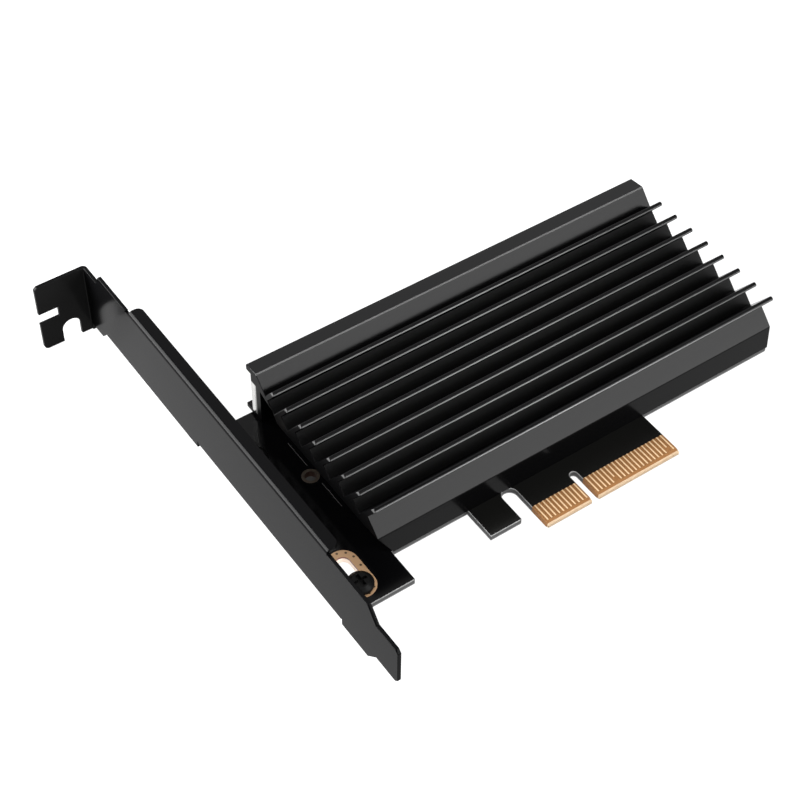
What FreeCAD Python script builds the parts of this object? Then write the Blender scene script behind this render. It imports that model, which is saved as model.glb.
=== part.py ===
"""Slot card that carries one solid-state drive under a finned heatsink.

Millimetres. X runs along the card from its bracket, Y up from the edge
fingers and Z out of the component side. The origin lies on the solder face,
at the bottom edge of the fingers, in the middle of the key notch.
"""
import FreeCAD, Part
import math
import os
import re
import Sketcher

doc = FreeCAD.newDocument("drive_card")
sheet = doc.addObject("Spreadsheet::Sheet", "Sizes")
places = doc.addObject("Spreadsheet::Sheet", "Places")
pieces = []

# Driving sizes in millimetres, shares of a size and angles in degrees
SIZES = {
    # Circuit board
    "board_thick": 1.6,  # thickness of the board
    "key_to_rear": 57.15,  # key notch to the board's bracket end
    "key_to_front": 57.45,  # key notch to the board's free end
    "board_low": 12.2,  # finger edge to the board's lower edge between its tabs
    "board_high": 59.1,  # finger edge to the board's upper edge
    "corner_wide": 15.2,  # width of the corner that the bracket holds
    "corner_low": 4.1,  # finger edge to the lower edge of that corner
    "tab_wide": 7.65,  # width of the short tab
    "tab_low": 4.2,  # finger edge to the lower edge of the short tab
    "recess_wide": 3.6,  # gap between the short tab and the finger tab
    "finger_margin": 0.65,  # middle of the outermost finger to the side of its tab
    "key_wide": 1.9,  # width of the key notch
    "key_top": 8.2,  # height of the key notch
    "bevel_long": 1.0,  # bevel of the finger edge, along the board
    "bevel_deep": 0.4,  # bevel of the finger edge, through the board

    # Edge fingers
    "finger_pitch": 1.0,  # pitch of the fingers
    "finger_wide": 0.7,  # width of a finger
    "finger_low": 1.07,  # board's edge to the lower end of a finger
    "finger_high": 5.5,  # board's edge to the upper end of a finger
    "finger_setback": 1.2,  # how much shorter the presence fingers are
    "finger_thick": 0.05,  # height of a finger above the board
    "key_to_finger": 1.5,  # middle of the key notch to the fingers beside it
    "fingers_left": 11,  # fingers left of the key notch
    "fingers_right": 21,  # fingers right of the key notch
    "first_presence": 5,  # pitches from the finger right of the key to a presence finger
    "last_presence": 19,  # pitches from that finger to the last presence finger

    # Plated holes
    "plating": 0.05,  # thickness of the plating
    "slot_in": 5.65,  # board's bracket end to the middle of the bracket slots
    "slot_above": 4.9,  # lower edge of the board's corner to the slot's lower arc centre
    "slot_travel": 6.1,  # distance between a slot's arc centres
    "slot_half": 1.6,  # half width of a plated bracket slot
    "slot_ring": 1.7,  # width of the plated ring round the lower slot
    "upper_ring": 0.6,  # width of the plated ring round the upper slot
    "slot_pitch": 38.5,  # lower bracket slot to the upper one
    "post_half": 1.25,  # radius of a plated post hole
    "post_ring": 0.65,  # width of the ring round a post hole
    "longest_drive": 80.0,  # length of the longest drive
    "long_drive": 60.0,  # length of the next drive
    "short_drive": 42.0,  # length of the third drive
    "shortest_drive": 30.0,  # length of the shortest drive
    "drive_above": 25.2,  # board's lower edge to the middle of the drive

    # Heatsink
    "sink_in": 11.95,  # board's bracket end to the heatsink
    "foot_over": 0.35,  # near wall beyond the board's lower edge
    "shoulder_in": 0.45,  # lean of the near wall up to its shoulder
    "shoulder_high": 6.0,  # height of the near shoulder above the board
    "near_wall": 4.15,  # thickness of the near wall
    "bay_high": 5.6,  # height of the drive's bay
    "floor_thick": 1.67,  # thickness of the plate under the channels
    "channel_deep": 2.33,  # height from the channel bottoms to the fin roots
    "fin_high": 4.0,  # height of the fins above their near roots
    "first_root_in": 4.05,  # near wall's foot to the nearest fin's root
    "last_root_in": 4.2,  # ridge to the farthest fin's root
    "fin_count": 8,  # number of fins
    "fin_thick": 1.05,  # thickness of a fin
    "fin_lean": 36.4,  # lean of the fins from upright
    "fin_round": 0.45,  # rounding of the fin tips
    "channel_tilt": 44.0,  # slope of the channel sides
    "band_tilt": 46.8,  # slope of the far band
    "far_wall_in": 0.3,  # board's upper edge to the far wall
    "far_wall": 3.65,  # thickness of the far wall
    "ridge_in": 2.3,  # far wall's outer face to the ridge of the far band
    "ridge_high": 13.9,  # height of the ridge above the board
    "brim_wide": 3.95,  # brim beyond the ridge
    "brim_drop": 0.5,  # fall of the brim to its edge
    "brim_thick": 1.4,  # thickness of the brim
    "lip_wide": 2.3,  # foot lip beyond the far wall
    "lip_thick": 1.2,  # thickness of the foot lip
    "climb_start": 6.2,  # far wall's inner face to where the roof starts to climb
    "climb_knee": 4.4,  # far wall's inner face to the knee in the climb
    "knee_rise": 2.35,  # height of that knee above the roof
    "climb_rise": 4.0,  # height of the roof at the far wall above the rest
    "end_cut_long": 3.5,  # oblique cut at the near wall's end, along the card
    "end_cut_high": 5.9,  # height of that oblique cut

    # Screws that hold the heatsink from the solder side
    "sink_screw": 1.0,  # radius of a heatsink screw
    "sink_screw_play": 0.1,  # clearance round a heatsink screw in the board
    "sink_screw_reach": 3.0,  # how far a heatsink screw enters the heatsink
    "sink_screw_end": 8.2,  # heatsink's ends to its screws
    "sink_screw_in": 2.75,  # near wall's outer face to its screws
    "sink_head": 1.6,  # radius of its head
    "sink_head_high": 0.7,  # height of its head

    # Screws that hold the bracket from the component side
    "bracket_screw": 1.5,  # radius of a bracket screw
    "bracket_head": 2.75,  # radius of its head
    "bracket_head_high": 1.6,  # height of its head
    "screw_end": 0.5,  # screw beyond the collar that it passes through

    # Form of every screw head, as shares of its radius and height
    "head_side": 0.5,  # height at which the straight side ends
    "head_crown": 0.66,  # radius of the flat crown
    "recess_reach": 0.52,  # reach of the cross recess
    "recess_arm": 0.13,  # half width of its arms
    "recess_deep": 0.6,  # depth of the cross recess

    # Bracket
    "sheet_thick": 0.86,  # thickness of the bracket's sheet
    "bracket_gap": 0.49,  # board's end to the inside of the bracket
    "strip_low": 1.5,  # strip's edge below the solder face
    "strip_wide": 18.1,  # strip's edge to the outer face of the flange
    "ear_above": 107.2,  # finger edge to the outer face of the ear
    "bracket_high": 120.02,  # inner face of the ear to the tip of the tongue
    "tongue_in": 2.9,  # strip's edge to the tongue's
    "tongue_wide": 10.19,  # width of the tongue
    "tongue_corner": 0.8,  # cut corners of the tongue
    "tongue_long": 7.03,  # length of the tongue
    "taper_long": 2.85,  # length of the taper from the strip to the tongue
    "ear_deep": 11.85,  # reach of the ear behind the strip
    "ear_wide": 18.75,  # width of the ear
    "ear_over": 4.15,  # ear beyond the strip on the solder side
    "ear_corner": 1.1,  # rounded corners of the ear
    "ear_root": 1.25,  # height of the ear's full width down the strip
    "neck_in": 1.9,  # ear's edge to the neck's on the solder side
    "neck_long": 6.2,  # outer face of the ear to the neck's full width
    "neck_flare": 2.0,  # length of the flare from the strip to the neck
    "shoulder_down": 6.7,  # outer face of the ear to the step on the component side
    "shoulder_long": 1.2,  # length of that step
    "ear_notch_up": 7.9,  # ear's solder side edge to its rear notch
    "ear_notch_wide": 2.85,  # width of the ear's rear notch
    "ear_notch_deep": 4.7,  # depth of the ear's rear notch
    "ear_slot_in": 4.75,  # strip's outer face to the middle of the ear's screw slot
    "ear_slot_half": 2.21,  # half width of the ear's screw slot
    "ear_slot_deep": 5.6,  # depth of the ear's screw slot
    "flange_down": 21.35,  # outer face of the ear to the flange's upper end
    "flange_long": 76.05,  # length of the flange
    "flange_wide": 3.1,  # width of the flange
    "flange_corner": 1.5,  # rounded corners of the flange
    "edge_in": 1.4,  # flange's outer face to the strip's edge below it
    "upper_edge_in": 0.8,  # flange's outer face to the strip's edge above it
    "relief_wide": 1.4,  # width of the relief cut above the flange
    "rail_relief": 0.4,  # width of the relief cuts beside the rail
    "relief_deep": 1.2,  # depth of the relief cuts beside the folds
    "rail_wide": 3.3,  # width of the rail between its tabs
    "fold_round": 1.1,  # outer radius of the folds
    "fold_inner": 0.24,  # inner radius of the folds
    "tab_past": 5.0,  # screw tabs beyond the middle of their screws
    "tab_below": 3.5,  # screw tab below its screw
    "tab_above": 2.7,  # screw tab above its screw
    "tab_corner": 1.5,  # rounded corners of the screw tabs
    "collar_wall": 0.7,  # wall of the threaded collars
    "collar_long": 1.1,  # length of the threaded collars

    # Drive socket
    "socket_front": 31.0,  # key notch to the mouth face of the drive socket
    "socket_deep": 8.7,  # depth of the socket along the card
    "socket_wide": 21.9,  # width of the socket
    "socket_high": 4.2,  # height of the socket above the board
    "mouth_wide": 20.0,  # width of the socket's mouth
    "mouth_deep": 4.35,  # depth of the socket's mouth
    "mouth_low": 2.35,  # lower side of the mouth above the board
    "mouth_high": 1.05,  # height of the mouth
    "lip_setback": 1.2,  # how far the upper lip stands back
    "mouth_key": 6.125,  # middle of the drive to the key in the mouth
    "mouth_key_wide": 1.1,  # width of the key in the mouth
    "contact_pitch": 0.5,  # pitch of the contacts in a row
    "contact_wide": 0.22,  # width of a contact
    "contact_foot": 0.7,  # length of a contact's foot
    "contact_thick": 0.15,  # thickness of a contact
    "contacts_long": 29,  # contacts in a row before the key
    "upper_short": 5,  # contacts of the rear row beyond the key
    "lower_short": 4,  # contacts of the front row beyond the key
    "keyed_out": 4,  # contacts in a row that the key takes away
    "row_start": 9.25,  # middle of the drive to the first contact of the rear row
    "peg_thin": 0.55,  # radius of the socket's thin locating peg
    "peg_thick": 0.8,  # radius of the socket's thick locating peg
    "peg_play": 0.05,  # clearance round the pegs in the board
    "peg_in": 0.95,  # socket's ends to its pegs
    "anchor_long": 2.2,  # length of an anchor tab
    "anchor_wide": 0.9,  # width of an anchor tab's foot
    "anchor_high": 1.5,  # height of an anchor tab
    "anchor_thick": 0.2,  # thickness of an anchor tab

    # Thermal pad
    "pad_in": 3.2,  # heatsink's bracket end to the thermal pad
    "pad_long": 70.0,  # length of the thermal pad
    "pad_wide": 21.0,  # width of the thermal pad
    "pad_thick": 1.0,  # thickness of the thermal pad

    # Chip parts behind the socket: gap to it, first one below the drive's middle
    "cap_gap": 4.3,  # socket to the reservoir capacitors
    "cap_below": 10.4,  # middle of the drive to the first reservoir capacitor
    "cap_long": 3.2,  # length of a reservoir capacitor
    "cap_wide": 1.6,  # width of a reservoir capacitor
    "cap_high": 1.5,  # height of a reservoir capacitor
    "cap_end": 0.5,  # metal end of a reservoir capacitor
    "cap_count": 4,  # number of reservoir capacitors
    "cap_pitch": 3.0,  # pitch of the reservoir capacitors
    "filter_gap": 1.9,  # socket to the filter capacitors
    "filter_below": 10.4,  # middle of the drive to the first filter capacitor
    "filter_long": 1.0,  # length of a filter capacitor
    "filter_wide": 0.5,  # width of a filter capacitor
    "filter_high": 0.5,  # height of a filter capacitor
    "filter_end": 0.25,  # metal end of a filter capacitor
    "filter_count": 6,  # number of filter capacitors
    "filter_pitch": 3.0,  # pitch of the filter capacitors
    "resistor_gap": 10.3,  # socket to the resistors
    "resistor_below": 18.4,  # middle of the drive to the first resistor
    "resistor_long": 1.6,  # length of a resistor
    "resistor_wide": 0.8,  # width of a resistor
    "resistor_high": 0.45,  # height of a resistor
    "resistor_end": 0.3,  # metal end of a resistor
    "resistor_count": 4,  # number of resistors
    "resistor_pitch": 1.8,  # pitch of the resistors
    "fuse_gap": 9.8,  # socket to the fuse
    "fuse_above": 5.1,  # middle of the drive to the middle of the fuse
    "fuse_long": 4.5,  # length of the fuse
    "fuse_wide": 3.2,  # width of the fuse
    "fuse_high": 0.9,  # height of the fuse
    "fuse_end": 0.6,  # metal end of the fuse
}

# Places that follow from the sizes, each worked out by its own cell
PLACES = {
    # Board
    "finger_right": "key_to_finger + (fingers_right - 1) * finger_pitch + finger_margin",
    "finger_left": "-key_to_finger - (fingers_left - 1) * finger_pitch - finger_margin",
    "first_finger": "finger_left + finger_margin",
    "recess_middle": "finger_left - recess_wide / 2",
    "tab_left": "finger_left - recess_wide - tab_wide",
    "corner_right": "corner_wide - key_to_rear",
    "slot_x": "slot_in - key_to_rear",
    "screw_low": "corner_low + slot_above",
    "screw_high": "screw_low + slot_pitch",
    "drive_y": "board_low + drive_above",
    "drive_end": "socket_front + mouth_deep",
    # Heatsink
    "sink_left": "sink_in - key_to_rear",
    "sink_long": "key_to_front - sink_left",
    "foot_y": "board_low - foot_over",
    "near_wall_in": "foot_y + near_wall",
    "near_screw_y": "foot_y + sink_screw_in",
    "far_wall_out": "board_high - far_wall_in",
    "far_wall_inner": "far_wall_out - far_wall",
    "far_screw_y": "far_wall_out - far_wall / 2",
    "sink_screw_x": "sink_left + sink_screw_end",
    "sink_screw_span": "sink_long - 2 * sink_screw_end",
    "roof": "board_thick + bay_high",
    "channel_floor": "roof + floor_thick",
    "root_z": "channel_floor + channel_deep",
    "tip_near": "root_z + fin_high",
    "tip_far": "tip_near + fin_thick * sin(fin_lean * 1 deg)",
    "channel_run": "channel_deep / tan(channel_tilt * 1 deg)",
    "first_root": "foot_y + first_root_in",
    "ridge_y": "far_wall_out - ridge_in",
    "ridge_z": "board_thick + ridge_high",
    "fin_pitch": "(ridge_y - last_root_in - first_root) / (fin_count - 1)",
    "tip_y": "first_root - fin_high * tan(fin_lean * 1 deg)",
    "far_face_y": "first_root + fin_thick / cos(fin_lean * 1 deg) + channel_deep * tan(fin_lean * 1 deg)",
    "brim_z": "ridge_z - brim_drop",
    # Bracket
    "strip_out": "-key_to_rear - bracket_gap - sheet_thick",
    "strip_in": "strip_out + sheet_thick",
    "strip_bottom": "-strip_low",
    "strip_top": "strip_bottom + strip_wide",
    "flange_in": "strip_top - sheet_thick",
    "ear_in": "ear_above - sheet_thick",
    "ear_rear": "strip_out - ear_deep",
    "ear_bottom": "strip_bottom - ear_over",
    "ear_top": "ear_bottom + ear_wide",
    "neck_bottom": "ear_bottom + neck_in",
    "neck_y": "ear_above - neck_long",
    "shoulder_y": "ear_above - shoulder_down",
    "tongue_tip": "ear_in - bracket_high",
    "tongue_end": "tongue_tip + tongue_long",
    "taper_end": "tongue_end + taper_long",
    "tongue_bottom": "strip_bottom + tongue_in",
    "tongue_top": "tongue_bottom + tongue_wide",
    "flange_high": "ear_above - flange_down",
    "flange_low": "flange_high - flange_long",
    "flange_edge": "strip_out + flange_wide",
    "rail_top": "-plating",
    "rail_bottom": "rail_top - sheet_thick",
    "rail_low": "screw_low - tab_below",
    "rail_high": "board_high",
    "rail_edge": "strip_out + rail_wide",
    "tab_edge": "slot_x + tab_past",
    # Socket
    "socket_back": "socket_front + socket_deep",
    "socket_middle": "socket_front + socket_deep / 2",
    "socket_low": "drive_y - socket_wide / 2",
    "socket_top": "board_thick + socket_high",
    "mouth_bottom": "board_thick + mouth_low",
    "mouth_top": "mouth_bottom + mouth_high",
    "thin_peg_y": "socket_low + peg_in",
    "thick_peg_y": "socket_low + socket_wide - peg_in",
    "screw_seat": "board_thick + plating",
}
DRIVES = ["longest_drive", "long_drive", "short_drive", "shortest_drive"]


def formula(text, prefix="Places."):
    """Name each size and place in a formula as the sheets know it."""
    def full(word):
        name = word.group()
        if name in SIZES:
            return "Sizes." + name
        return prefix + name if name in PLACES else name
    return re.sub(r"[a-z_]+", full, text)


for row, (name, number) in enumerate(SIZES.items(), 1):
    sheet.set("A%d" % row, name)
    sheet.set("B%d" % row, str(number))
    sheet.setAlias("B%d" % row, name)
doc.recompute()
for row, (name, text) in enumerate(PLACES.items(), 1):
    places.set("A%d" % row, name)
    places.set("B%d" % row, "=" + formula(text, prefix=""))
    places.setAlias("B%d" % row, name)
doc.recompute()


def place(name):
    """Read one worked-out place."""
    return float(places.get(name))


def bind(thing, target, text):
    """Tie a property of an object to a formula on the sizes."""
    thing.setExpression(target, formula(text))


# Each view plane, with the sign that its normal has along the axis
PLANES = {"flat": ("XY_Plane", ""), "side": ("YZ_Plane", ""), "front": ("XZ_Plane", "-")}


def new_piece(name):
    """Start the body of one piece of the card."""
    body = doc.addObject("PartDesign::Body", name)
    body.Label = name
    pieces.append(body)
    return body


def origin_part(body, role):
    """Find one of the body's own planes or axes."""
    return next(part for part in body.Origin.OriginFeatures if part.Role == role)


def new_sketch(body, name, view, lift="0", across="0"):
    """Start a sketch on a plane of the body, at a height along its normal axis."""
    role, sign = PLANES[view]
    sketch = body.newObject("Sketcher::SketchObject", name)
    sketch.AttachmentSupport = [(origin_part(body, role), "")]
    sketch.MapMode = "FlatFace"
    bind(sketch, "AttachmentOffset.Base.z", "%s(%s)" % (sign, lift))
    bind(sketch, "AttachmentOffset.Base.x", across)
    return sketch


def tie(sketch, kind, shape, point, text):
    """Tie a point's distance from the sketch's origin to a formula."""
    index = sketch.addConstraint(Sketcher.Constraint(kind, -1, 1, shape, point, 1.0))
    bind(sketch, "Constraints[%d]" % index, text)


def tie_radius(sketch, shape, text):
    """Tie a radius to a formula."""
    index = sketch.addConstraint(Sketcher.Constraint("Radius", shape, 1.0))
    bind(sketch, "Constraints[%d]" % index, text)


def polygon(sketch, corners):
    """Close straight lines through corners, each given as two formulas."""
    first = sketch.GeometryCount
    count = len(corners)
    turn = 2 * math.pi / count
    ring = [FreeCAD.Vector(math.cos(turn * k), math.sin(turn * k), 0) for k in range(count)]
    for k in range(count):
        sketch.addGeometry(Part.LineSegment(ring[k], ring[(k + 1) % count]), False)
    for k in range(count):
        joined = Sketcher.Constraint("Coincident", first + k, 2, first + (k + 1) % count, 1)
        sketch.addConstraint(joined)
    for k, (across, along) in enumerate(corners):
        tie(sketch, "DistanceX", first + k, 1, across)
        tie(sketch, "DistanceY", first + k, 1, along)


def rectangle(sketch, left, right, low, high):
    """Draw a rectangle between two pairs of formulas."""
    polygon(sketch, [(left, low), (right, low), (right, high), (left, high)])


def circle(sketch, across, along, radius):
    """Draw a circle whose centre and radius are formulas."""
    shape = sketch.addGeometry(Part.Circle(FreeCAD.Vector(), FreeCAD.Vector(0, 0, 1), 1), False)
    tie(sketch, "DistanceX", shape, 3, across)
    tie(sketch, "DistanceY", shape, 3, along)
    tie_radius(sketch, shape, radius)


def upright_slot(sketch, across, low, high, radius):
    """Draw a slot with round ends between two arc centres, one above the other."""
    first = sketch.GeometryCount
    up = FreeCAD.Vector(0, 0, 1)
    top = Part.Circle(FreeCAD.Vector(0, 3, 0), up, 1)
    bottom = Part.Circle(FreeCAD.Vector(0, 0, 0), up, 1)
    sketch.addGeometry(Part.ArcOfCircle(top, 0, math.pi), False)
    sketch.addGeometry(Part.LineSegment(FreeCAD.Vector(-1, 3, 0), FreeCAD.Vector(-1, 0, 0)), False)
    sketch.addGeometry(Part.ArcOfCircle(bottom, math.pi, 2 * math.pi), False)
    sketch.addGeometry(Part.LineSegment(FreeCAD.Vector(1, 0, 0), FreeCAD.Vector(1, 3, 0)), False)
    for k in range(4):
        joined = Sketcher.Constraint("Coincident", first + k, 2, first + (k + 1) % 4, 1)
        sketch.addConstraint(joined)
    for arc, along in ((first, high), (first + 2, low)):
        sketch.addConstraint(Sketcher.Constraint("Horizontal", arc, 3, arc, 1))
        sketch.addConstraint(Sketcher.Constraint("Horizontal", arc, 3, arc, 2))
        tie(sketch, "DistanceX", arc, 3, across)
        tie(sketch, "DistanceY", arc, 3, along)
        tie_radius(sketch, arc, radius)


def cross(sketch, half_long, half_wide):
    """Draw an upright cross about the sketch's origin."""
    corners = []
    for side, end in ((1, 1), (-1, 1), (-1, -1), (1, -1)):
        arm = ["%d * %s" % (side, half_long), "%d * %s" % (end, half_wide)]
        inner = ["%d * %s" % (side, half_wide), "%d * %s" % (end, half_wide)]
        stem = ["%d * %s" % (side, half_wide), "%d * %s" % (end, half_long)]
        quarter = [arm, inner, stem]
        corners += quarter if side == end else quarter[::-1]
    polygon(sketch, corners)


def pad(body, name, sketch, length, towards_minus=False):
    """Raise a solid from a sketch."""
    feature = body.newObject("PartDesign::Pad", name)
    feature.Profile = sketch
    feature.Reversed = towards_minus
    bind(feature, "Length", length)
    return feature


def pocket(body, name, sketch, length, with_normal=False):
    """Cut a sketch into the body, against its normal unless told otherwise."""
    feature = body.newObject("PartDesign::Pocket", name)
    feature.Profile = sketch
    feature.Reversed = with_normal
    bind(feature, "Length", length)
    return feature


def revolve(body, name, sketch):
    """Turn a sketch about its own upright axis."""
    feature = body.newObject("PartDesign::Revolution", name)
    feature.Profile = sketch
    feature.ReferenceAxis = (sketch, ["V_Axis"])
    feature.Angle = 360
    return feature


def repeat(body, name, originals, role, count, pitch):
    """Repeat features in a row along an axis of the body."""
    feature = body.newObject("PartDesign::LinearPattern", name)
    feature.Originals = originals
    feature.Direction = (origin_part(body, role), [""])
    bind(feature, "Occurrences", count)
    bind(feature, "Length", "(%s - 1) * (%s)" % (count, pitch))
    body.Tip = feature
    return feature


def lies(coordinate, limit):
    """Tell whether a coordinate is at a limit, or between the two of a pair."""
    low, high = limit if isinstance(limit, tuple) else (limit, limit)
    return low - 0.001 < coordinate < high + 0.001


def edges_at(shape, limits):
    """Name the edges whose two ends both have the given coordinates."""
    found = []
    for index, edge in enumerate(shape.Edges, 1):
        ends = [vertex.Point for vertex in edge.Vertexes]
        near = [lies(getattr(end, axis), limit) for end in ends for axis, limit in limits.items()]
        if len(ends) == 2 and all(near):
            found.append("Edge%d" % index)
    return found


def round_edges(body, name, base, radius, groups):
    """Round the base feature's edges that lie at any of the given coordinates."""
    doc.recompute()
    found = []
    for limits in groups:
        found += [edge for edge in edges_at(base.Shape, limits) if edge not in found]
    if not found:
        raise ValueError("%s finds no edge" % name)
    feature = body.newObject("PartDesign::Fillet", name)
    feature.Base = (base, found)
    bind(feature, "Radius", radius)
    return feature


def draw_bracket_slots(sketch, grow, upper_grow=""):
    """Both bracket slots, grown from their plated size."""
    for low, more in (("screw_low", grow), ("screw_high", upper_grow or grow)):
        upright_slot(sketch, "slot_x", low, low + " + slot_travel", "slot_half + " + more)


def draw_post_holes(sketch, radius):
    """The post hole of each length of drive, at one radius."""
    for length in DRIVES:
        circle(sketch, "drive_end - " + length, "drive_y", radius)


def draw_sink_screws(sketch, radius):
    """The four places of the heatsink's screws, at one radius."""
    for row in ("near_screw_y", "far_screw_y"):
        circle(sketch, "sink_screw_x", row, radius)
        circle(sketch, "sink_screw_x + sink_screw_span", row, radius)


def draw_pegs(sketch, play):
    """The socket's two locating pegs, with some play round them."""
    circle(sketch, "socket_middle", "thin_peg_y", "peg_thin + " + play)
    circle(sketch, "socket_middle", "thick_peg_y", "peg_thick + " + play)


def make_board():
    """The board, with its tabs, notches and holes."""
    body = new_piece("circuit_board")
    sketch = new_sketch(body, "board_outline", "flat")
    polygon(sketch, [
        ("-key_to_rear", "corner_low"),
        ("corner_right", "corner_low"),
        ("corner_right", "board_low"),
        ("tab_left", "board_low"),
        ("tab_left", "tab_low"),
        ("recess_middle", "tab_low"),
        ("recess_middle", "0"),
        ("finger_right", "0"),
        ("finger_right", "board_low"),
        ("key_to_front", "board_low"),
        ("key_to_front", "board_high"),
        ("-key_to_rear", "board_high"),
    ])
    pad(body, "board_plate", sketch, "board_thick")
    sketch = new_sketch(body, "notches", "flat", "board_thick")
    upright_slot(sketch, "recess_middle", "-recess_wide", "board_low - recess_wide / 2", "recess_wide / 2")
    upright_slot(sketch, "0", "-key_wide", "key_top - key_wide / 2", "key_wide / 2")
    pocket(body, "notch_cuts", sketch, "board_thick")
    sketch = new_sketch(body, "bracket_slots", "flat", "board_thick")
    draw_bracket_slots(sketch, "plating")
    pocket(body, "bracket_slot_cuts", sketch, "board_thick")
    sketch = new_sketch(body, "round_holes", "flat", "board_thick")
    draw_post_holes(sketch, "post_half")
    draw_sink_screws(sketch, "sink_screw + sink_screw_play")
    draw_pegs(sketch, "peg_play")
    pocket(body, "round_hole_cuts", sketch, "board_thick")
    sketch = new_sketch(body, "finger_bevel", "side", "finger_right")
    polygon(sketch, [("0", "0"), ("bevel_long", "0"), ("0", "bevel_deep")])
    polygon(sketch, [("0", "board_thick"), ("0", "board_thick - bevel_deep"), ("bevel_long", "board_thick")])
    pocket(body, "finger_bevel_cut", sketch, "finger_right - recess_middle")


def make_fingers(name, bottom, short):
    """One side's contact fingers, with the named ones set back from the edge."""
    body = new_piece(name)
    rows = [
        ("first_finger", "fingers_left"),
        ("key_to_finger", "fingers_right"),
    ]
    for side, (start, count) in zip(("left", "right"), rows):
        sketch = new_sketch(body, "%s_%s" % (name, side), "flat", bottom)
        left = start + " - finger_wide / 2"
        rectangle(sketch, left, left + " + finger_wide", "finger_low", "finger_high")
        first = pad(body, "%s_%s_first" % (name, side), sketch, "finger_thick")
        repeat(body, "%s_%s_row" % (name, side), [first], "X_Axis", count, "finger_pitch")
    sketch = new_sketch(body, name + "_setback", "flat", bottom)
    for middle in short:
        left = middle + " - finger_pitch / 2"
        rectangle(sketch, left, left + " + finger_pitch", "0", "finger_low + finger_setback")
    pocket(body, name + "_setback_cut", sketch, "finger_thick", with_normal=True)


def make_slot_plating():
    """Linings of the bracket slots, with a ring on each face of the board."""
    body = new_piece("bracket_slot_plating")
    layers = [
        ("lining", "0", "board_thick", ["plating"]),
        ("front", "board_thick", "plating", ["slot_ring", "upper_ring"]),
        ("back", "-plating", "plating", ["slot_ring", "upper_ring"]),
    ]
    for layer, bottom, thick, rings in layers:
        sketch = new_sketch(body, "slot_%s_outline" % layer, "flat", bottom)
        draw_bracket_slots(sketch, *rings)
        draw_bracket_slots(sketch, "0")
        pad(body, "slot_%s" % layer, sketch, thick)


def make_post_plating():
    """The ring round each post hole, on the component side."""
    body = new_piece("post_hole_plating")
    sketch = new_sketch(body, "post_rings_outline", "flat", "board_thick")
    draw_post_holes(sketch, "post_half + post_ring")
    draw_post_holes(sketch, "post_half")
    pad(body, "post_rings", sketch, "plating")


def make_heatsink():
    """The extruded heatsink, with leaning blade fins over the drive's bay."""
    body = new_piece("heatsink")
    sketch = new_sketch(body, "sink_base_outline", "side", "sink_left")
    polygon(sketch, [
        ("foot_y", "board_thick"),
        ("foot_y + shoulder_in", "board_thick + shoulder_high"),
        ("first_root - channel_run", "channel_floor"),
        ("ridge_y - (ridge_z - channel_floor) / tan(band_tilt * 1 deg)", "channel_floor"),
        ("ridge_y", "ridge_z"),
        ("ridge_y + brim_wide", "brim_z"),
        ("ridge_y + brim_wide", "brim_z - brim_thick"),
        ("far_wall_out", "brim_z - brim_thick"),
        ("far_wall_out", "board_thick + lip_thick"),
        ("far_wall_out + lip_wide", "board_thick + lip_thick"),
        ("far_wall_out + lip_wide", "board_thick"),
    ])
    pad(body, "sink_base", sketch, "sink_long")
    sketch = new_sketch(body, "fin_outline", "side", "sink_left")
    polygon(sketch, [
        ("first_root - channel_run", "channel_floor"),
        ("first_root - channel_run", "roof"),
        ("first_root - channel_run + fin_pitch", "roof"),
        ("far_face_y", "channel_floor"),
        ("tip_y + fin_thick * cos(fin_lean * 1 deg)", "tip_far"),
        ("tip_y", "tip_near"),
        ("first_root", "root_z"),
    ])
    fin = pad(body, "first_fin", sketch, "sink_long")
    fins = repeat(body, "fins", [fin], "Y_Axis", "fin_count", "fin_pitch")
    round_edges(body, "fin_tips", fins, "fin_round", [{"z": place("tip_near")}, {"z": place("tip_far")}])
    sketch = new_sketch(body, "bay_outline", "side", "key_to_front")
    polygon(sketch, [
        ("near_wall_in", "board_thick"),
        ("near_wall_in", "roof"),
        ("far_wall_inner - climb_start", "roof"),
        ("far_wall_inner - climb_knee", "roof + knee_rise"),
        ("far_wall_inner", "roof + climb_rise"),
        ("far_wall_inner", "board_thick"),
    ])
    pocket(body, "bay", sketch, "sink_long")
    sketch = new_sketch(body, "end_cut_outline", "front", "near_wall_in")
    polygon(sketch, [
        ("sink_left", "board_thick"),
        ("sink_left + end_cut_long", "board_thick"),
        ("sink_left", "board_thick + end_cut_high"),
    ])
    pocket(body, "end_cut", sketch, "near_wall", with_normal=True)
    sketch = new_sketch(body, "sink_screw_holes", "flat", "board_thick")
    draw_sink_screws(sketch, "sink_screw")
    pocket(body, "sink_screw_bores", sketch, "sink_screw_reach", with_normal=True)


def make_screws(name, across, along, seat, way, shank, tip, head, head_high, role, pitch):
    """Two cross-recessed screws: one turned from its profile, then repeated.

    The first one stands at across and along. way is 1 for a head on the
    component side and -1 for a head on the solder side.
    """
    body = new_piece(name)
    up = "%s + %d * %s" % (seat, way, head_high)
    sketch = new_sketch(body, name + "_profile", "front", along, across)
    polygon(sketch, [
        ("0", tip),
        (shank, tip),
        (shank, seat),
        (head, seat),
        (head, "%s + %d * %s * head_side" % (seat, way, head_high)),
        (head + " * head_crown", up),
        ("0", up),
    ])
    turned = revolve(body, name + "_turned", sketch)
    sketch = new_sketch(body, name + "_cross", "flat", up, across)
    bind(sketch, "AttachmentOffset.Base.y", along)
    cross(sketch, head + " * recess_reach", head + " * recess_arm")
    cut = pocket(body, name + "_recess", sketch, head_high + " * recess_deep", with_normal=way < 0)
    repeat(body, name + "_row", [turned, cut], role, "2", pitch)


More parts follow.
